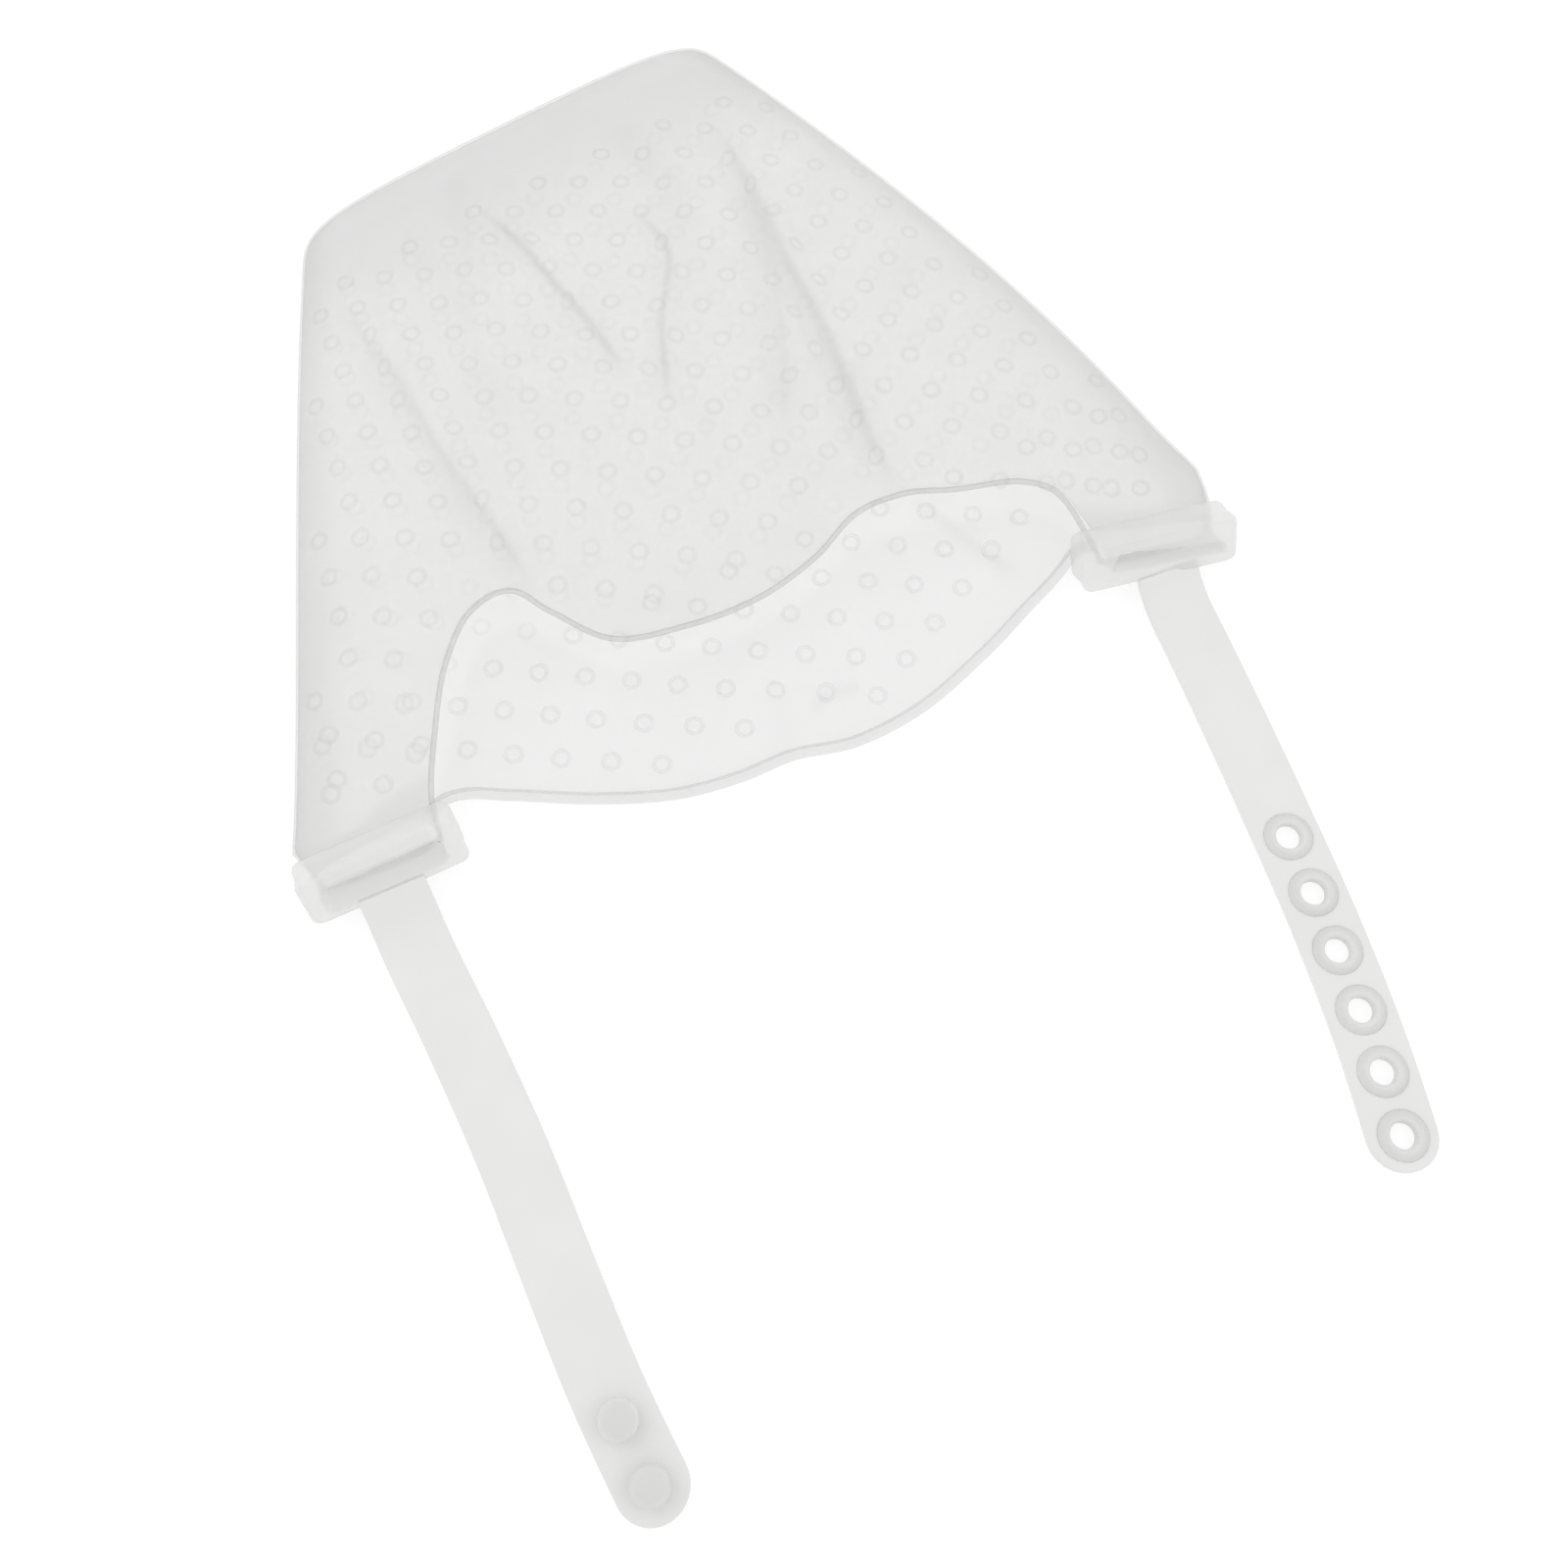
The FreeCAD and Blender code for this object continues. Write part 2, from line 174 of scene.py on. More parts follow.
def set_back(curve, distance):
    """The plan curve moved towards the crown."""
    tangent = directions(curve)
    return curve + distance * np.stack([-tangent[:, 1], tangent[:, 0]], 1)


def add_piece(name, mesh, material):
    mesh.polygons.foreach_set("use_smooth", [True] * len(mesh.polygons))
    mesh.materials.append(material)
    piece = bpy.data.objects.new(name, mesh)
    scene.collection.objects.link(piece)
    return piece


def add_mesh(name, vertices, faces, material, shade=None):
    """A smooth piece from points in the cap's plan; shade (0 to 1) is painted shade that darkens
    the material.
    """
    mesh = bpy.data.meshes.new(name)
    mesh.from_pydata((np.asarray(vertices) * MM + ORIGIN).tolist(), [], faces)
    bm = bmesh.new()
    bm.from_mesh(mesh)
    bmesh.ops.recalc_face_normals(bm, faces=bm.faces[:])
    bm.to_mesh(mesh)
    bm.free()
    if shade is not None:
        attribute = mesh.attributes.new("shade", "FLOAT", "POINT")
        attribute.data.foreach_set("value", np.asarray(shade, np.float32))
    return add_piece(name, mesh, material)


def sharpen(piece, angle):
    """Edges that turn by more than the angle stay crisp."""
    mesh = piece.data
    bm = bmesh.new()
    bm.from_mesh(mesh)
    for edge in bm.edges:
        edge.smooth = len(edge.link_faces) == 2 and edge.calc_face_angle() < angle
    bm.to_mesh(mesh)
    bm.free()


def loop_faces(loops, size, closed_ends=False):
    """Quads between consecutive loops of the same size, with caps if asked."""
    faces = []
    for row in range(loops - 1):
        for k in range(size):
            a, b = row * size + k, row * size + (k + 1) % size
            faces.append((a, b, b + size, a + size))
    if closed_ends:
        faces.append(tuple(range(size))[::-1])
        faces.append(tuple(range((loops - 1) * size, loops * size)))
    return faces


# ---- materials --------------------------------------------------------------------

CLOUD_SCALE = 55.0
GRAIN_SCALE = 900.0
GRAIN_SPREAD = 0.07                 # how far the grain moves the roughness each way
GRAIN_BUMP = (0.08, 0.0002)         # strength, distance in metres
WARMTH = 0.005                      # how much less blue than red and green


def milk(level, share=1.0):
    """A milky grey, as a node colour."""
    return (*[min(1, c * share) for c in (level, level, round(level - WARMTH, 3))], 1)


def silicone(name, level, alpha, roughness, fleck=0.03, painted_shade_level=None):
    """Milky moulded silicone with faint clouding and a fine satin grain.

    The mesh's shade attribute paints shade: it takes the colour towards the painted shade level
    where the silicone is thick or folded.
    """
    material = bpy.data.materials.new(name)
    material.use_nodes = True
    nodes, links = material.node_tree.nodes, material.node_tree.links
    shader = nodes["Principled BSDF"]
    shader.inputs["Alpha"].default_value = alpha
    shader.inputs["IOR"].default_value = 1.41
    shader.inputs["Specular IOR Level"].default_value = 0.35
    place = nodes.new("ShaderNodeTexCoord").outputs["Object"]
    cloud = nodes.new("ShaderNodeTexNoise")
    cloud.inputs["Scale"].default_value = CLOUD_SCALE
    cloud.inputs["Detail"].default_value = 4.0
    links.new(place, cloud.inputs["Vector"])
    ramp = nodes.new("ShaderNodeValToRGB")
    low, high = ramp.color_ramp.elements[0], ramp.color_ramp.elements[1]
    low.position, high.position = 0.3, 0.7
    low.color, high.color = milk(level, 1 - fleck), milk(level, 1 + fleck)
    links.new(cloud.outputs["Fac"], ramp.inputs["Fac"])
    tone = ramp.outputs["Color"]
    if painted_shade_level is not None:
        # Painted shade: the shade attribute mixes the colour towards the painted shade level.
        depth = nodes.new("ShaderNodeAttribute")
        depth.attribute_name = "shade"
        mix = nodes.new("ShaderNodeMix")
        mix.data_type = "RGBA"
        mix.blend_type = "MIX"
        mix.inputs["B"].default_value = milk(painted_shade_level)
        links.new(depth.outputs["Fac"], mix.inputs["Factor"])
        links.new(tone, mix.inputs["A"])
        tone = mix.outputs["Result"]
    links.new(tone, shader.inputs["Base Color"])
    grain = nodes.new("ShaderNodeTexNoise")
    grain.inputs["Scale"].default_value = GRAIN_SCALE
    grain.inputs["Detail"].default_value = 3.0
    links.new(place, grain.inputs["Vector"])
    spread = nodes.new("ShaderNodeMapRange")
    spread.inputs["To Min"].default_value = roughness - GRAIN_SPREAD
    spread.inputs["To Max"].default_value = roughness + GRAIN_SPREAD
    links.new(grain.outputs["Fac"], spread.inputs["Value"])
    links.new(spread.outputs["Result"], shader.inputs["Roughness"])
    relief = nodes.new("ShaderNodeBump")
    relief.inputs["Strength"].default_value = GRAIN_BUMP[0]
    relief.inputs["Distance"].default_value = GRAIN_BUMP[1]
    links.new(grain.outputs["Fac"], relief.inputs["Height"])
    links.new(relief.outputs["Normal"], shader.inputs["Normal"])
    return material


# Painted shade: the shade attribute darkens the skin, eyelets and studs towards their painted shade
# level; the cuff's level is its own, so its shade darkens nothing.
SKIN = silicone("silicone_skin", 0.75, 0.20, 0.42, painted_shade_level=0.45)
FACE_RIM = silicone("silicone_face_rim", 0.55, 0.28, 0.40)
NAPE_BEAD = silicone("silicone_nape_rim", 0.62, 0.24, 0.40)
RING = silicone("silicone_ring", 0.56, 0.055, 0.40)
CLEAR_RING = silicone("silicone_ring_clear", 0.56, 0.075, 0.40)
DEEP_RING = silicone("silicone_ring_deep", 0.60, 0.025, 0.40)
CUFF = silicone("silicone_cuff", 0.84, 0.5, 0.42, painted_shade_level=0.84)
STRAP = silicone("silicone_strap", 0.81, 1.0, 0.45, fleck=0.015)
EYELET = silicone("silicone_eyelet", 0.85, 0.85, 0.42, fleck=0.02, painted_shade_level=0.71)
STUD = silicone("silicone_stud", 0.86, 0.8, 0.38, fleck=0.02, painted_shade_level=0.76)


# ---- hood surface -----------------------------------------------------------------

def rise(y):
    return (y - CUFF_LINE) / (CROWN_CORNER - CUFF_LINE)


def past_corner(y, depth=CROWN_DEPTH):
    return np.clip((y - CROWN_CORNER) / depth, 0.0, 1.0)


def half_width(y, depth=CROWN_DEPTH):
    u = rise(y)
    straight = BASE_HALF_WIDTH + (CROWN_HALF_WIDTH - BASE_HALF_WIDTH) * u
    bulged = straight + 4.0 * SIDE_BULGE * u * (1.0 - u)
    above = bulged * (1.0 - past_corner(y, depth) ** 5) ** 0.2
    return np.where(u < 0.0, BASE_HALF_WIDTH - CUFF_TAPER * (CUFF_LINE - y), above)


def pinch(y, depth=CROWN_DEPTH):
    return (1.0 - past_corner(y, depth) ** 3) ** 0.4


def middle(y):
    u = np.clip(rise(y), 0.0, 1.0)
    return SIDE_DRIFT * np.sin(np.pi * u ** 0.8) + 1.5 * u


def swell(y):
    u = np.clip((CROWN_CORNER + CROWN_DEPTH - y) / 200.0, 0.02, 1.0)
    height = 2.4 + DOME * u ** 0.6 * (1.0 - 0.55 * u * u)
    low = np.maximum(0.0, 45.0 - y) / 28.0
    return height / (1.0 + 0.85 * low * low)


def slant(y):
    return CROWN_SLANT * np.clip((y - 60.0) / 125.0, 0.0, 1.0) ** 2


# Folds: plan route, height, half width, how lopsided, and how much painted shade the hollow and the
# crease get.
UPPER_FOLDS = (
    (((-16, 172), (-10, 154), (-7, 138), (-3, 119), (-1, 100)), 1.4, 2.4, 0.9, 0.3, 0.9),
    (((22, 152), (25, 134), (14, 112), (5, 86)), 1.3, 2.2, 0.9, 0.3, 0.9),
    (((-62, 164), (-55, 127), (-53, 103), (-50, 83), (-47, 66), (-46, 50)),
     2.6, 4.2, 0.9, 0.8, 0.6),
    (((56, 176), (54, 138), (52, 114), (52, 97), (50, 74), (48, 56), (49, 38)),
     3.0, 3.4, 0.9, 0.9, 1.0),
    (((56, 152), (46, 110), (38, 87), (28, 64)), 1.5, 5.0, 0.6, 0.6, 0.3),
    (((-36, 178), (-30, 150), (-32, 120), (-30, 96)), 1.2, 6.0, 0.5, 0.4, 0.0),
    (((30, 188), (36, 160), (34, 132)), 1.4, 6.0, 0.6, 0.5, 0.0),
    (((-12, 192), (-20, 168), (-24, 140)), 1.1, 5.0, 0.5, 0.4, 0.0),
    (((70, 150), (78, 120), (84, 90)), 0.8, 7.0, 0.3, 0.2, 0.0),
    (((-76, 120), (-84, 92), (-92, 62)), 0.8, 7.0, 0.3, 0.2, 0.0),
)
LOWER_FOLDS = (
    (((57, 47), (63, 30), (72, 12)), 1.6, 2.6, 0.8, 0.3, 0.4),
    (((5, 2), (12, 4.6), (21, 3.4)), 1.0, 2.0, 0.8, 0.2, 0.5),
    (((-4, -6), (-2, 4), (2, 16)), 0.9, 3.5, 0.4, 0.2, 0.0),
)


def fold_height(x, y, folds):
    """Height added by the folds at plan points, and the painted shade in their hollows and along
    their creases.
    """
    shape = np.shape(x)
    x, y = np.ravel(x).astype(float), np.ravel(y).astype(float)
    height, crease = np.zeros_like(x), np.zeros_like(x)
    for route, tall, wide, lopsided, dark, crease_line_shade in folds:
        line = spline(route, 60)
        tangent = directions(line)
        gap = (x[:, None] - line[:, 0]) ** 2 + (y[:, None] - line[:, 1]) ** 2
        near = np.argmin(gap, axis=1)
        offset = np.stack([x - line[near, 0], y - line[near, 1]], 1)
        side = tangent[near, 0] * offset[:, 1] - tangent[near, 1] * offset[:, 0]
        away = np.sqrt(gap[np.arange(len(x)), near])
        beyond = np.sqrt(np.maximum(away ** 2 - side ** 2, 0.0))
        t = near / (len(line) - 1.0)
        fade = smooth_step(t, -0.02, 0.2) * smooth_step(1.02 - t, 0.0, 0.2)
        fade = fade * np.exp(-(beyond / wide) ** 2)
        ridge = np.exp(-((side - 0.55 * wide) / wide) ** 2)
        valley = np.exp(-((side + 0.75 * wide) / wide) ** 2)
        height += tall * fade * (ridge - lopsided * valley)
        # Painted shade in the hollow beside each fold's ridge and along its crease line.
        crease += 0.5 * dark * fade * np.exp(-((side + 0.4 * wide) / (0.9 * wide)) ** 2)
        crease += crease_line_shade * fade * np.exp(-(side / 0.9) ** 2)
    return height.reshape(shape), np.clip(crease, 0.0, 1.0).reshape(shape)


def near_cuffs(y, reach):
    return np.exp(-((y - 12.0) / reach) ** 2)


def corner_lift(x, y):
    """The nape layer climbs to the inner ends of the cuffs."""
    return 6.0 * np.exp(-((np.abs(x) - 87.0) / 6.5) ** 2) * near_cuffs(y, 9.0)


def flare(x, y):
    """The right side fold leans out to the end of its cuff."""
    return 3.4 * smooth_step(x, 60.0, 120.0) * near_cuffs(y, 16.0)


def bag(angle, y, inner):
    """The bag without its folds, at ring angle and height y: the outside, or inside the wall."""
    thin = FOLD_WALL if inner else 0.0
    depth = CROWN_DEPTH - thin
    upper = np.sin(angle) >= 0.0
    cosine, sine = np.cos(angle), np.abs(np.sin(angle))
    across = np.sign(cosine) * np.abs(cosine) ** np.where(upper, 2.0 / UPPER_ROUNDNESS, 0.5)
    flat = (1.0 - np.minimum(1.0, np.abs(across)) ** LOWER_ROUNDNESS) ** (1.0 / LOWER_ROUNDNESS)
    up = np.where(upper, sine ** (2.0 / UPPER_ROUNDNESS), -flat)
    tall = np.where(upper, swell(y), FOLD_HEIGHT) - (WALL if inner else 0.0)
    x = middle(y) + (half_width(y, depth) - thin) * across
    z = FOLD_HEIGHT + tall * pinch(y, depth) * up
    return x, z, upper, across, up, depth


def skin_painted_shade(x, plan_y, y, z, upper, across, crease):
    """Painted shade on the skin: darker at the side folds, outer edges, crown, creases, where the
    lower layer lies bare, and next to the cuffs.
    """
    fold = smooth_step(np.abs(across), 0.86, 1.0) * np.where(upper, 1.0, 0.6)
    crown = 0.35 * smooth_step(y, 150.0, 200.0)
    edge = smooth_step(np.abs(across), 0.982, 0.992) + smooth_step(y, 200.0, 201.2)
    # Painted shade in a band on the upper layer next to each cuff, wider on the cuff's inner side.
    inward = smooth_step(-np.abs(x), -124.0, -88.0)
    behind = y - cuff_back(x, z)
    near_cuff = 1.0 - smooth_step(behind, 1.5 + 3.0 * inward, 3.0 + 4.5 * inward)
    cuff_shade = np.where(upper, near_cuff, 0.0) * smooth_step(np.abs(x), 85.0, 89.0)
    # Painted shade where the lower layer lies bare below the face edge.
    bare = np.interp(x, face_line[:, 0], face_line[:, 1]) - plan_y
    crease = crease + np.where(upper, 0.0, 0.3 * smooth_step(bare, -2.0, 2.0))
    return np.clip(0.6 * fold + 0.5 * edge + 0.5 * cuff_shade + crown + crease, 0.0, 1.0)


def hood_surface(angle, y, inner):
    """Points of the folded bag, and the painted shade on the silicone there."""
    x, z, upper, across, up, depth = bag(angle, y, inner)
    calm = np.where(upper, np.minimum(1.0, np.abs(up)) ** 2, 1.0 - np.abs(across) ** 6)
    calm = calm * (1.0 - past_corner(y, depth) ** 2) * smooth_step(y, 6.0, 30.0)
    plan_y = y + slant(y) * (x - middle(y))
    high, high_crease = fold_height(x, plan_y, UPPER_FOLDS)
    low, low_crease = fold_height(x, plan_y, LOWER_FOLDS)
    z = z + np.where(upper, high * calm, np.maximum(0.0, low) * (1.0 - np.abs(across) ** 6))
    z = z + np.where(upper, 0.0, corner_lift(x, y))
    x = x + flare(x, y)
    crease = np.where(upper, high_crease * calm, low_crease)
    return x, plan_y, z, skin_painted_shade(x, plan_y, y, z, upper, across, crease)


def upper_height(x, y):
    """Height of the top of the upper layer over a plan point below the slanted part."""
    share = np.clip(np.abs(x - middle(y)) / half_width(y), 0.0, 1.0)
    angle = np.arccos(np.clip(share ** (UPPER_ROUNDNESS / 2.0), 0.0, 1.0))
    angle = np.where(x > middle(y), angle, np.pi - angle)
    return hood_surface(angle, y, False)[2]


def even_angles(start, stop, count):
    """Ring angles that are evenly spaced along the ring of a typical section."""
    fine = np.linspace(start, stop, 4000)
    x, _, z, _ = hood_surface(fine, np.full_like(fine, 60.0), False)
    along = np.concatenate([[0.0], np.cumsum(np.hypot(np.diff(x), np.diff(z)))])
    return np.interp(np.linspace(0.0, along[-1], count), along, fine)


def cuff_back(x, z):
    """Where the back face of a cuff stands, as a height in Y, or far away between the cuffs."""
    y = np.full(np.shape(x), NOWHERE)
    for cx, cy, yaw in (LEFT_CUFF, RIGHT_CUFF):
        lean = CUFF_DEPTH + (z - CUFF_LIFT) * math.sin(CUFF_TILT)
        lean = lean + (x - cx) * math.sin(yaw) * math.cos(CUFF_TILT)
        face = cy + lean / (math.cos(yaw) * math.cos(CUFF_TILT))
        y = np.where(np.sign(cx) * x > 80.0, face, y)
    return y


def hem(angles, edge, inner):
    """Where each column of the wall starts: at its rim, or at the back of a cuff."""
    heights = np.arange(-24.0, 90.0, 0.1)[:, None] * np.ones((1, len(angles)))
    x, z = bag(np.ones((len(heights), 1)) * angles[None, :], heights, inner)[:2]
    order = np.argsort(edge[:, 0])
    rim = np.interp(x, edge[order, 0], edge[order, 1], left=NOWHERE, right=NOWHERE)
    outside = heights < np.maximum(rim, cuff_back(x, z))
    last = len(heights) - 1 - np.argmax(outside[::-1], axis=0)
    return heights[np.minimum(last + 1, len(heights) - 1), 0]


face_edge = spline(FACE_EDGE, 400)
nape_edge = spline(NAPE_EDGE, 400)
face_line = face_edge[np.argsort(face_edge[:, 0])]


def make_skin():
    """One closed wall: outside and inside of both layers, joined all round the hem."""
    over = even_angles(0.0, math.pi, COLUMNS + 1)
    under = even_angles(math.pi, 2.0 * math.pi, COLUMNS + 1)
    ring = np.concatenate([over[:-1], under[:-1]])
    size = len(ring)
    face = set_back(face_edge, FRONT_RIM[0] - RIM_LAP)
    nape = set_back(nape_edge, NAPE_RIM[0] - RIM_LAP)
    sheets, shades = [], []
    for inner in (False, True):
        depth = CROWN_DEPTH - (FOLD_WALL if inner else 0.0)
        starts = np.concatenate([hem(over[:-1], face, inner), hem(under[:-1], nape, inner)])
        main = np.linspace(0.0, 1.0, ROWS)[:, None]
        rows = starts[None, :] + (CROWN_CORNER - starts[None, :]) * main
        t = np.arange(1, CROWN_ROWS) / CROWN_ROWS
        crown = CROWN_CORNER + depth * (1.0 - (1.0 - t) ** 2.2)
        rows = np.vstack([rows, crown[:, None] * np.ones((1, size))])
        x, y, z, shade = hood_surface(ring[None, :] * np.ones((len(rows), 1)), rows, inner)
        sheets.append(np.stack([x, y, z], -1).reshape(-1, 3))
        shades.append(shade.ravel())
    loops = ROWS + CROWN_ROWS - 1
    faces = loop_faces(loops, size)
    total = loops * size
    faces += [tuple(i + total for i in face) for face in loop_faces(loops, size)]
    for k in range(size):
        after = (k + 1) % size
        faces.append((k, after, after + total, k + total))
    for base in ((loops - 1) * size, total + (loops - 1) * size):
        for k in range(COLUMNS):
            a, b = base + k, base + k + 1
            c, d = base + (size - k) % size, base + size - k - 1
            corners = [a, b, d, c]
            kept = [v for i, v in enumerate(corners) if v not in corners[:i]]
            if len(kept) > 2:
                faces.append(tuple(kept))
    skin = add_mesh("hood_skin", np.vstack(sheets), faces, SKIN, np.concatenate(shades))
    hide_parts("front_panel", "back_panel")
    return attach(skin, "hood")


def make_rim(name, edge, size, height_of, material, node):
    """A rounded bead along an edge; it hangs from the surface that height_of gives."""
    width, thick = size
    samples = spline(edge, RIM_SAMPLES)
    back = set_back(samples, 1.0) - samples     # unit steps from the edge into the hood
    limit = cuff_back(samples[:, 0], np.full(len(samples), thick / 2)) - 3.0
    keep = samples[:, 1] > limit
    samples, back = samples[keep], back[keep]
    corner = RIM_CORNER
    corners = ((corner, -corner, 90), (corner, corner - thick, 180),
               (width - corner, corner - thick, 270), (width - corner, -corner, 0))
    outline = []
    for cx, cz, first in corners:
        for step in range(5):
            turn = math.radians(first + 90 * step / 4.0)
            outline.append((cx + corner * math.cos(turn), cz + corner * math.sin(turn)))
    loops = []
    for point, inward in zip(samples, back):
        top = height_of(point[0], point[1])
        loops += [(point[0] + inward[0] * a, point[1] + inward[1] * a, top + b) for a, b in outline]
    rim = add_mesh(name, loops, loop_faces(len(samples), len(outline), True), material)
    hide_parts(node)
    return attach(rim, "hood")


def face_height(x, y):
    return float(upper_height(np.array([x]), np.array([max(y, 14.0)]))[0]) + 0.15


def nape_height(x, y):
    low, _ = fold_height(np.array([x]), np.array([y]), LOWER_FOLDS)
    return NAPE_RIM[1] + max(0.0, float(low[0])) + float(corner_lift(x, y))


# ---- guide rings ------------------------------------------------------------------

RING_RADIUS = 2.05
RING_TUBE = (0.55, 0.34)            # half width and half height of the raised ring
RING_SIDES = (22, 6)                # around the ring, around its tube
RING_COLUMN = 10.8
RING_ROW = 12.0
RING_COLUMNS = range(-11, 12)
RING_ROWS = range(-3, 18)
RING_CLEARANCE = 6.5                # from a ring's middle to the side fold
FACE_TOP = 48.0                     # above this height the upper layer covers the lower one's rings
SLOPE_STEP = 0.4                    # plan distance over which a surface's slope is taken


def ring_mesh(centre, normal, vertices, faces):
    normal = normal / np.linalg.norm(normal)
    first = np.cross(normal, (0.0, 1.0, 0.0))
    first /= np.linalg.norm(first)
    second = np.cross(normal, first)
    base = len(vertices)
    around, tube = RING_SIDES
    for i in range(around):
        a = 2 * math.pi * i / around
        radial = first * math.cos(a) + second * math.sin(a)
        for j in range(tube):
            b = 2 * math.pi * j / tube
            reach = RING_RADIUS + RING_TUBE[0] * math.cos(b)
            vertices.append(centre + radial * reach + normal * RING_TUBE[1] * math.sin(b))
    for i in range(around):
        here, there = base + i * tube, base + (i + 1) % around * tube
        for j in range(tube):
            k = (j + 1) % tube
            faces.append((here + j, here + k, there + k, there + j))


def ring_places(edge, low_margin, phase, top):
    """Staggered columns that fan slightly outwards towards the cuffs."""
    places = []
    order = np.argsort(edge[:, 0])
    for column in RING_COLUMNS:
        for row in RING_ROWS:
            y = row * RING_ROW + (column % 2) * RING_ROW / 2 + phase
            centre = float(middle(np.array(y)))
            x = centre + column * RING_COLUMN * (0.9 + 0.15 * (1.0 - y / 190.0))
            rim = float(np.interp(x, edge[order, 0], edge[order, 1]))
            inside = abs(x - centre) < float(half_width(np.array(y))) - RING_CLEARANCE
            behind = y > float(cuff_back(np.array(x), np.array(10.0))) + 10.0
            if inside and behind and rim + low_margin < y < top:
                places.append((x, y))
    return places


def make_rings(name, places, height_of, material):
    vertices, faces = [], []
    step = SLOPE_STEP
    for x, y in places:
        xs = np.array([x, x + step, x - step, x, x])
        ys = np.array([y, y, y, y + step, y - step])
        z = height_of(xs, ys)
        normal = np.array((-(z[1] - z[2]) / (2 * step), -(z[3] - z[4]) / (2 * step), 1.0))
        plan_y = y + float(slant(np.array(y))) * (x - float(middle(np.array(y))))
        ring_mesh(np.array((x, plan_y, z[0])), normal, vertices, faces)
    rings = add_mesh(name, vertices, faces, material)
    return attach(rings, "hood")


def inner_floor(x, y):
    """Height of the inside of the lower layer."""
    low, _ = fold_height(x, y, LOWER_FOLDS)
    share = np.clip(np.abs(x - middle(y)) / half_width(y), 0.0, 0.999)
    flat = (1.0 - share ** LOWER_ROUNDNESS) ** (1.0 / LOWER_ROUNDNESS)
    return FOLD_HEIGHT - (FOLD_HEIGHT - WALL) * flat + np.maximum(0.0, low)


# ---- cuffs ------------------------------------------------------------------------

def rounded_outline(width, height, radius, per_corner, per_side):
    """Closed outline centred on the origin, as points."""
    half_w, half_h = width / 2 - radius, height / 2 - radius
    arcs = []
    for cx, cz, first in ((half_w, half_h, 0), (-half_w, half_h, 90),
                          (-half_w, -half_h, 180), (half_w, -half_h, 270)):
        turns = [math.radians(first + 90 * k / per_corner) for k in range(per_corner + 1)]
        arcs.append([(cx + radius * math.cos(t), cz + radius * math.sin(t)) for t in turns])
    points = []
    for arc, after in zip(arcs, arcs[1:] + arcs[:1]):
        points += arc
        (ax, az), (bx, bz) = arc[-1], after[0]
        shares = [k / per_side for k in range(1, per_side)]
        points += [(ax * (1 - t) + bx * t, az * (1 - t) + bz * t) for t in shares]
    return np.array(points)


# Rings of a cuff's outer wall: what its width and height lack, corner radius, depth, shade.
CUFF_WALL = (
    (1.6, 1.6, 2.0, CUFF_DEPTH, 0.25), (0.3, 0.3, 2.3, CUFF_DEPTH - 0.4, 0.2),
    (0.0, 0.0, 2.4, CUFF_DEPTH - 1.2, 0.15), (0.5, 0.3, 2.4, 5.0, 0.1), (0.0, 0.0, 2.4, 1.2, 0.1),
    (0.4, 0.4, 2.3, 0.35, 0.1), (1.4, 1.4, 2.0, 0.0, 0.12),
)
# Rings of its mouth: width, height, corner radius, depth, shade, share of the slot's bend.
CUFF_MOUTH = (
    (34.6, 9.8, 2.0, 0.0, 0.15, 0.5), (31.8, 7.8, 1.9, 0.0, 0.2, 1.0),
    (30.9, 6.9, 1.8, 0.3, 0.35, 1.0), (30.6, 6.6, 1.7, 1.0, 0.6, 1.0),
    (30.6, 6.6, 1.7, 3.0, 0.85, 0.9), (30.6, 6.6, 1.7, 6.0, 1.0, 0.5),
    (30.6, 6.6, 1.7, CUFF_DEPTH, 1.0, 0.0),
)
SLOT_WIDTH = 30.6


def cuff_place(points, place):
    """Points of a cuff (across, depth, height), tilted and turned into the cap's plan."""
    cx, cy, yaw = place
    x, depth, height = points.T
    back = depth * math.cos(CUFF_TILT) + height * math.sin(CUFF_TILT)
    up = -depth * math.sin(CUFF_TILT) + height * math.cos(CUFF_TILT)
    return np.stack([x * math.cos(yaw) - back * math.sin(yaw) + cx,
                     x * math.sin(yaw) + back * math.cos(yaw) + cy, up + CUFF_LIFT], 1)


def make_cuff(name, place, width, slide, slot_shape, node):
    """A thick sleeve with rounded lips; slot_shape bends the outline of its mouth."""
    rings = [(rounded_outline(width - w, CUFF_HEIGHT - h, corner, 5, 7), depth, dark)
             for w, h, corner, depth, dark in CUFF_WALL]
    rings += [(slot_shape(rounded_outline(w, h, corner, 5, 7), bend), depth, dark)
              for w, h, corner, depth, dark, bend in CUFF_MOUTH]
    size = len(rings[0][0])
    points, shade = [], []
    for outline, depth, dark in rings:
        for a, b in outline:
            sag = 0.35 * math.sin(math.pi * (a / width + 0.5)) * (1.0 if b > 0 else 0.4)
            points.append((a + slide, depth, CUFF_HEIGHT / 2 + b - (sag if depth < 3 else 0.0)))
        shade += [dark] * size
    faces = loop_faces(len(rings), size)
    last = (len(rings) - 1) * size
    faces += [(last + k, last + (k + 1) % size, (k + 1) % size, k) for k in range(size)]
    cuff = add_mesh(name, cuff_place(np.array(points), place), faces, CUFF, shade)
    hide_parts(node)
    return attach(cuff, "hood")


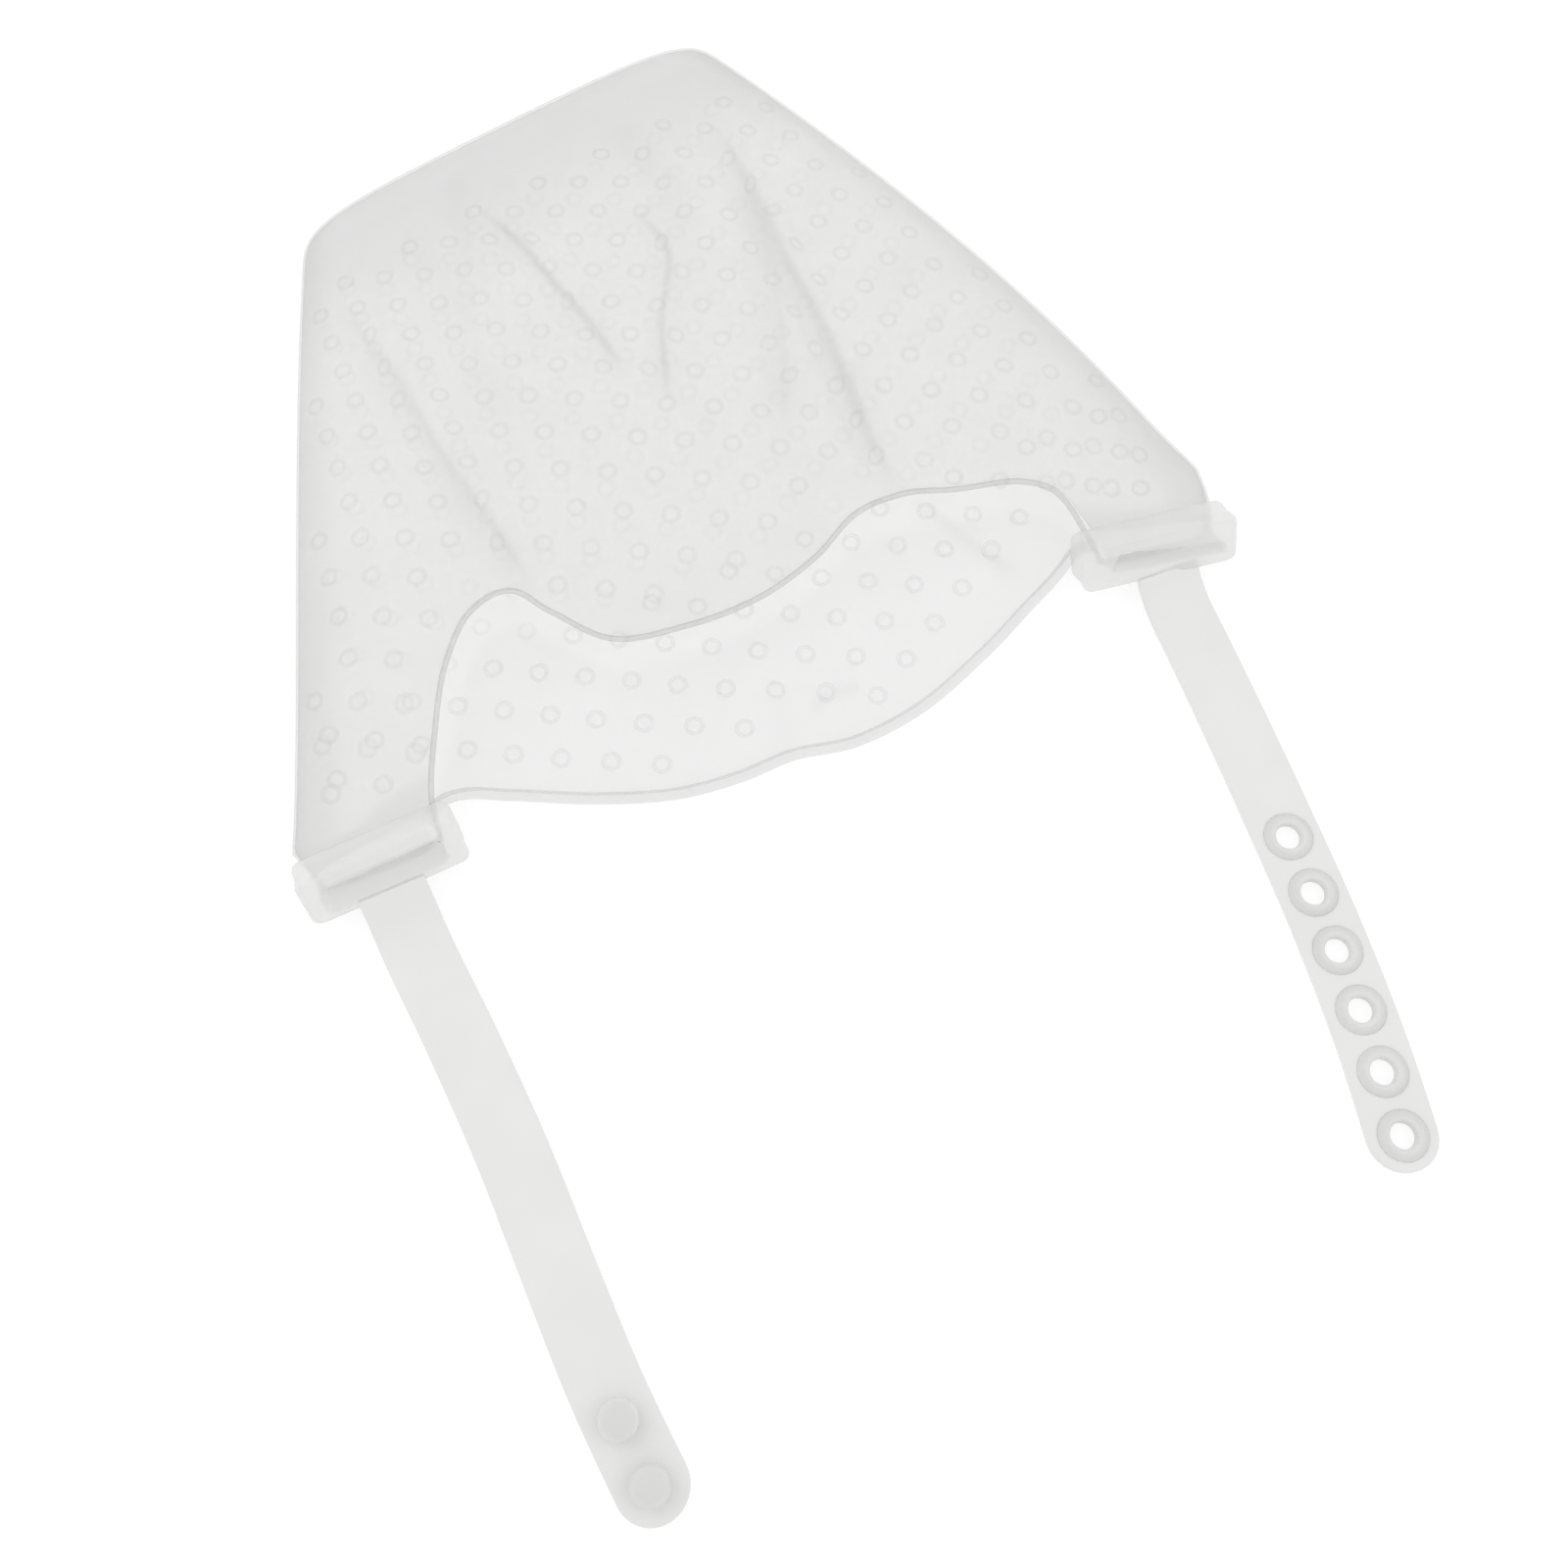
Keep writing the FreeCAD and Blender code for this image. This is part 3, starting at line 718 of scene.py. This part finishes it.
def bent_slot(outline, bend, top, bottom, slide, slope):
    """Outline with its edges moved: top and bottom say how much at the left and right ends."""
    half = outline[:, 1].max()
    t = np.clip((outline[:, 0] + SLOT_WIDTH / 2) / SLOT_WIDTH, 0.0, 1.0)
    share = (outline[:, 1] / half + 1.0) / 2.0
    high = half + bend * (top[0] + (top[1] - top[0]) * t ** 0.8)
    low = -half + bend * (bottom[0] + (bottom[1] - bottom[0]) * t)
    across = outline[:, 0] + bend * (slide + slope * share * (1.0 - t) ** 2)
    return np.stack([across, low + (high - low) * share], 1)


def open_slot(outline, bend):
    """The left mouth stays open, low in its cuff."""
    return bent_slot(outline, bend, (-1.3, -0.7), (-1.9, -1.5), -0.3, 0.0)


def sagging_slot(outline, bend):
    """The right mouth: its upper lip has sunk, so that the slot narrows to the right."""
    return bent_slot(outline, bend, (0.1, -4.2), (1.1, -0.6), 2.0, 3.2)


# ---- straps -----------------------------------------------------------------------

class Strap:
    """Middle line of a strap, and where its flexing lines are."""

    def __init__(self, start, headings, stations):
        self.stations = stations
        knots = [np.array(start, float)]
        for index, heading in enumerate(headings):
            angle = math.radians(heading)
            run = stations[index + 1] - stations[index]
            knots.append(knots[-1] + run * np.array((math.sin(angle), -math.cos(angle))))
        self.length = stations[-1]
        dense = spline(knots, 800)
        along = distance_along(dense)
        self.along = along * self.length / along[-1]
        self.dense = dense
        drop = CUFF_LIFT - 0.2 - STRAP_LIFT
        self.root_radius = (ROOT_RUN ** 2 + drop ** 2) / (2 * drop)

    def frame_at(self, u):
        """Plan place, plan direction, height and slope at stations u."""
        x, y = (np.interp(u, self.along, line) for line in self.dense.T)
        near = np.clip(u, 0.5, self.length - 0.5)
        dx, dy = (np.interp(near + 0.5, self.along, line) - np.interp(near - 0.5, self.along, line)
                  for line in self.dense.T)
        size = np.hypot(dx, dy)
        inside = np.minimum(u, 0.0)
        x, y = x + inside * dx / size, y + inside * dy / size
        back = np.clip(ROOT_RUN - u, 0.0, ROOT_RUN + ROOT_LAP)
        height = self.root_radius - np.sqrt(self.root_radius ** 2 - back ** 2)
        slope = np.arcsin(back / self.root_radius)
        return x, y, dx / size, dy / size, height, slope

    def world(self, points):
        """Points given as station, across, height over the middle, in the cap's plan."""
        u, v, w = points.T
        x, y, dx, dy, height, slope = self.frame_at(np.clip(u, -ROOT_LAP, self.length))
        lean = w * np.sin(slope)
        z = STRAP_LIFT + height + w * np.cos(slope)
        return np.stack([x - dy * v + dx * lean, y + dx * v + dy * lean, z], 1)

    def middle_of(self, segment):
        return (self.stations[segment] + self.stations[segment + 1]) / 2

    def place(self, station):
        point = self.world(np.array([[station, 0.0, 0.0]]))[0]
        return tuple(point * MM + ORIGIN)


ACROSS = 12                         # quads across a strap
ALONG = 1.3                         # length of a quad where the strap is plain
HALF = STRAP_WIDTH / 2
HOLE_RADIUS = 5.9                   # the strap stops under the raised eyelet
RING_SHARES = (0.0, 0.22, 0.5, 0.78, 1.0)   # rows of quads from a hole to the strap's edge
EDGE_ROUNDING = 0.55
CRISP_ANGLE = math.radians(60)


def strap_sheet(strap, holes):
    """Flat quads of a strap in (station, across), with round holes and a round tip."""
    vertices, faces, index = [], [], {}

    def vertex(u, v):
        key = (round(u, 4), round(v, 4))
        if key not in index:
            index[key] = len(vertices)
            vertices.append((u, v, 0.0))
        return index[key]

    def across_line(u, half):
        return [vertex(u, half * (2.0 * k / ACROSS - 1.0)) for k in range(ACROSS + 1)]

    def band(stations):
        lines = [across_line(u, half) for u, half in stations]
        for before, after in zip(lines, lines[1:]):
            for k in range(ACROSS):
                faces.append((before[k], before[k + 1], after[k + 1], after[k]))

    tip_centre = strap.length - HALF
    first_cell = holes[0] - PITCH / 2 if holes else tip_centre
    band([(u, HALF) for u in np.linspace(-ROOT_LAP, first_cell, int(first_cell / ALONG))])
    shares = [k / ACROSS for k in range(ACROSS)]
    for hole in holes:
        last = hole == holes[-1]
        near = hole - PITCH / 2
        far = tip_centre if last else hole + PITCH / 2
        border = [(near, HALF * (2.0 * t - 1.0)) for t in shares]
        border += [(near + (far - near) * t, HALF) for t in shares]
        if last:
            turns = [math.pi / 2 - math.pi * t for t in shares]
            border += [(far + HALF * math.cos(turn), HALF * math.sin(turn)) for turn in turns]
        else:
            border += [(far, HALF * (1.0 - 2.0 * t)) for t in shares]
        border += [(far + (near - far) * t, -HALF) for t in shares]
        rings = []
        for share in RING_SHARES:
            ring = []
            for u, v in border:
                away = math.hypot(u - hole, v)
                cu = hole + (u - hole) * HOLE_RADIUS / away
                cv = v * HOLE_RADIUS / away
                ring.append(vertex(cu + (u - cu) * share, cv + (v - cv) * share))
            rings.append(ring)
        for inner, outer in zip(rings, rings[1:]):
            for k in range(len(border)):
                n = (k + 1) % len(border)
                faces.append((inner[k], outer[k], outer[n], inner[n]))
    if not holes:
        turns = np.linspace(0.0, math.pi / 2, ACROSS + 1)[:-1]
        stations = [(tip_centre + HALF * math.sin(t), HALF * math.cos(t)) for t in turns]
        band(stations)
        end = vertex(strap.length, 0.0)
        line = across_line(*stations[-1])
        for k in range(ACROSS):
            faces.append((line[k], line[k + 1], end))
    return vertices, faces


def flat_strap(strap, holes):
    """The whole strap laid straight, with thickness and rounded edges, in millimetres."""
    vertices, faces = strap_sheet(strap, holes)
    mesh = bpy.data.meshes.new("strap_sheet")
    mesh.from_pydata(vertices, [], faces)
    holder = bpy.data.objects.new("strap_sheet", mesh)
    scene.collection.objects.link(holder)
    body = holder.modifiers.new("thickness", "SOLIDIFY")
    body.thickness = STRAP_THICK
    body.offset = 0.0
    edge = holder.modifiers.new("edge", "BEVEL")
    edge.width = EDGE_ROUNDING
    edge.segments = 3
    edge.limit_method = "ANGLE"
    edge.angle_limit = math.radians(50)
    depsgraph = bpy.context.evaluated_depsgraph_get()
    done = bpy.data.meshes.new_from_object(holder.evaluated_get(depsgraph))
    bpy.data.objects.remove(holder)
    return done


def strap_piece(name, flat, strap, low, high, material):
    """The part of the flat strap between two stations, closed and laid along the strap's line."""
    bm = bmesh.new()
    bm.from_mesh(flat)
    for station, side in ((low, -1.0), (high, 1.0)):
        if station is None:
            continue
        cut = bmesh.ops.bisect_plane(
            bm, geom=bm.verts[:] + bm.edges[:] + bm.faces[:], dist=1e-4,
            plane_co=(station, 0, 0), plane_no=(side, 0, 0), clear_outer=True)
        rim = [e for e in cut["geom_cut"] if isinstance(e, bmesh.types.BMEdge) and e.is_boundary]
        bmesh.ops.edgenet_fill(bm, edges=rim)
    bm.normal_update()
    points = np.array([v.co for v in bm.verts])
    for vertex, point in zip(bm.verts, strap.world(points) * MM + ORIGIN):
        vertex.co = point
    bmesh.ops.recalc_face_normals(bm, faces=bm.faces[:])
    mesh = bpy.data.meshes.new(name)
    bm.to_mesh(mesh)
    bm.free()
    piece = add_piece(name, mesh, material)
    sharpen(piece, CRISP_ANGLE)
    return piece


def make_strap(prefix, strap, holes):
    flat = flat_strap(strap, holes)
    count = len(strap.stations) - 2
    for k in range(count):
        low = None if k == 0 else strap.middle_of(k)
        high = None if k == count - 1 else strap.middle_of(k + 1)
        piece = strap_piece("%s_skin_%d" % (prefix, k + 1), flat, strap, low, high, STRAP)
        covered = ["%s_%d" % (prefix, k + 1)] + ([prefix + "_root"] if k == 0 else [])
        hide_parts(*covered)
        bend_with(piece, strap, k)


def bend_with(piece, strap, k):
    """Bakes the piece's place into its mesh. The places on either side of the flexing line between
    two lengths are worked out but not used.
    """
    line = strap.stations[k + 1]
    start, end = strap.place(line - BEND_REACH), strap.place(line + BEND_REACH)
    if k == 0:
        start = (start[0], start[1], end[2])
    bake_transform(piece)


TURNED_SIDES = 48


def turned_piece(name, strap, station, profile, shades, material, capped):
    """A round feature turned about the strap's thickness; profile is (radius, height) pairs."""
    around = TURNED_SIDES
    x, y, z = strap.world(np.array([[station, 0.0, -STRAP_THICK / 2]]))[0]
    vertices, shade = [], []
    for (radius, height), dark in zip(profile, shades):
        for k in range(around):
            turn = 2 * math.pi * k / around
            vertices.append((x + radius * math.cos(turn), y + radius * math.sin(turn), z + height))
            shade.append(dark)
    faces = loop_faces(len(profile), around, capped)
    if not capped:
        last = (len(profile) - 1) * around
        faces += [(last + k, last + (k + 1) % around, (k + 1) % around, k) for k in range(around)]
    return add_mesh(name, vertices, faces, material, shade)


# Profiles: radius and height above the strap's underside.
EYELET_PROFILE = (
    (3.05, 0.5), (3.05, 1.5), (3.1, 2.1), (3.35, 2.5), (3.9, 2.75), (4.3, 3.0), (4.7, 3.1),
    (5.2, 2.95), (5.6, 2.55), (5.85, 2.2), (6.0, 1.6), (6.0, 0.6), (5.8, 0.05), (3.4, 0.05),
)
# Painted shade on each profile ring of the eyelet: a darker band over the outer half of its raised
# top, paler at its inner edge and outer wall.
EYELET_PAINTED_SHADE = (0.3, 0.25, 0.2, 0.0, 0.0, 0.3, 0.6, 0.6, 0.5, 0.2, 0.0, 0.0, 0.3, 0.3)
STUD_PROFILE = (
    (3.3, 1.5), (3.3, 4.6), (3.6, 5.1), (4.2, 5.3), (4.45, 5.6), (4.45, 6.2), (4.25, 6.6),
    (3.7, 7.0), (2.8, 7.35), (1.6, 7.6), (0.25, 7.7),
)
# Painted shade on the studs: darker in the core, with a rim that is painted paler on the first stud
# than on the second.
STUD_EDGE_PAINTED_SHADE = (0.1, 0.55)       # the first stud's edge is paler than the second's


def segment_at(strap, station):
    """Index of the strap piece that a station lies in."""
    count = len(strap.stations) - 2
    return max([0] + [k for k in range(1, count) if strap.middle_of(k) <= station + 0.2])


def make_eyelets(strap, holes):
    for number, station in enumerate(holes, 1):
        ring = turned_piece("eyelet_ring_%d" % number, strap, station,
                            EYELET_PROFILE, EYELET_PAINTED_SHADE, EYELET, False)
        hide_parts("eyelet_%d" % number)
        bend_with(ring, strap, segment_at(strap, station))


def make_studs(strap, stations):
    for number, (station, edge) in enumerate(zip(stations, STUD_EDGE_PAINTED_SHADE), 1):
        # Painted shade per profile ring: darker neck and dome, the rim from the edge shades above.
        shades = (0.6, 0.6, 0.6, edge, edge, edge, edge, 0.5, 0.6, 0.6, 0.6)
        stud = turned_piece("snap_stud_%d" % number, strap, station,
                            STUD_PROFILE, shades, STUD, True)
        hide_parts("stud_%d" % number)
        bend_with(stud, strap, segment_at(strap, station))


# ---- table, light, camera (metres) ------------------------------------------------

TABLE_REACH = 3.0
TABLE_HEIGHT = -0.0003
TABLE_TONE = 0.35
TABLE_GLOW = 0.69                   # the table is a light box, so that shadows stay faint
WORLD_LIGHT = 0.86
LAMPS = (                           # name, place, size, power
    ("key", (-0.5, 0.5, 0.9), 0.9, 1.6),
    ("fill", (0.6, -0.4, 0.9), 0.9, 1.2),
)
VIEW = (math.radians(-25.0), math.radians(70.0), 0.3884)    # azimuth, elevation, distance
VIEW_AIM = (-8.5, -12.2, 0.0)       # in the cap's plan, millimetres


def make_stage():
    reach, height = TABLE_REACH, TABLE_HEIGHT
    mesh = bpy.data.meshes.new("table")
    mesh.from_pydata([(-reach, -reach, height), (reach, -reach, height), (reach, reach, height),
                      (-reach, reach, height)], [], [(0, 1, 2, 3)])
    material = bpy.data.materials.new("pale_table")
    material.use_nodes = True
    shader = material.node_tree.nodes["Principled BSDF"]
    shader.inputs["Base Color"].default_value = (TABLE_TONE, TABLE_TONE, TABLE_TONE, 1)
    shader.inputs["Roughness"].default_value = 0.9
    shader.inputs["Specular IOR Level"].default_value = 0.1
    shader.inputs["Emission Color"].default_value = (1, 1, 1, 1)
    shader.inputs["Emission Strength"].default_value = TABLE_GLOW
    mesh.materials.append(material)
    table = bpy.data.objects.new("table", mesh)
    scene.collection.objects.link(table)


def look(thing, place, back):
    """Puts a lamp or the camera at a place; back points away from what it looks at."""
    thing.location = place
    thing.rotation_euler = (-back).to_track_quat("-Z", "Y").to_euler()
    scene.collection.objects.link(thing)


def make_light():
    world = bpy.data.worlds.new("studio")
    scene.world = world
    world.use_nodes = True
    sky = world.node_tree.nodes["Background"]
    sky.inputs["Color"].default_value = (1, 1, 1, 1)
    sky.inputs["Strength"].default_value = WORLD_LIGHT
    for name, place, size, power in LAMPS:
        light = bpy.data.lights.new(name, "AREA")
        light.size = size
        light.energy = power
        look(bpy.data.objects.new(name, light), place, Vector(place))


def make_camera():
    azimuth, elevation, distance = VIEW
    flat = math.cos(elevation)
    back = Vector((math.sin(azimuth) * flat, -math.cos(azimuth) * flat, math.sin(elevation)))
    data = bpy.data.cameras.new("camera")
    data.lens = 36.0
    data.sensor_width = 36.0
    data.clip_start = 0.01
    camera = bpy.data.objects.new("camera", data)
    look(camera, Vector(ORIGIN + MM * np.array(VIEW_AIM)) + back * distance, back)
    scene.camera = camera


def settle_view():
    scene.view_settings.view_transform = "Standard"
    scene.cycles.transparent_max_bounces = 48
    scene.cycles.max_bounces = 16


def row_from_tip(strap, count):
    """Stations of a row of round features that ends in the strap's round tip."""
    tip = strap.length - HALF
    return [tip - PITCH * (count - 1 - k) for k in range(count)]


# ---- the cap ----------------------------------------------------------------------

make_skin()
make_rim("front_bead", FACE_EDGE, FRONT_RIM, face_height, FACE_RIM, "front_rim")
make_rim("nape_bead", NAPE_EDGE, NAPE_RIM, nape_height, NAPE_BEAD, "nape_rim")

back_places = ring_places(nape_edge, 10.0, -1.0, 180.0)
open_places = [p for p in back_places if p[1] < FACE_TOP]
covered_places = [p for p in back_places if p[1] >= FACE_TOP]
make_rings("front_guide_rings", ring_places(face_edge, 9.0, 4.0, 176.0), upper_height, RING)
make_rings("nape_guide_rings", open_places, inner_floor, CLEAR_RING)
make_rings("back_guide_rings", covered_places, inner_floor, DEEP_RING)

make_cuff("left_cuff_sleeve", LEFT_CUFF, 39.8, 0.1, open_slot, "left_cuff")
make_cuff("right_cuff_sleeve", RIGHT_CUFF, 41.2, -1.1, sagging_slot, "right_cuff")

stud_strap = Strap(STUD_START, STUD_HEADINGS, STUD_STATIONS)
eyelet_strap = Strap(EYELET_START, EYELET_HEADINGS, EYELET_STATIONS)
eyelet_places = row_from_tip(eyelet_strap, EYELET_COUNT)
make_strap("stud_strap", stud_strap, [])
make_strap("eyelet_strap", eyelet_strap, eyelet_places)
make_studs(stud_strap, row_from_tip(stud_strap, STUD_COUNT))
make_eyelets(eyelet_strap, eyelet_places)

make_stage()
make_light()
make_camera()
settle_view()
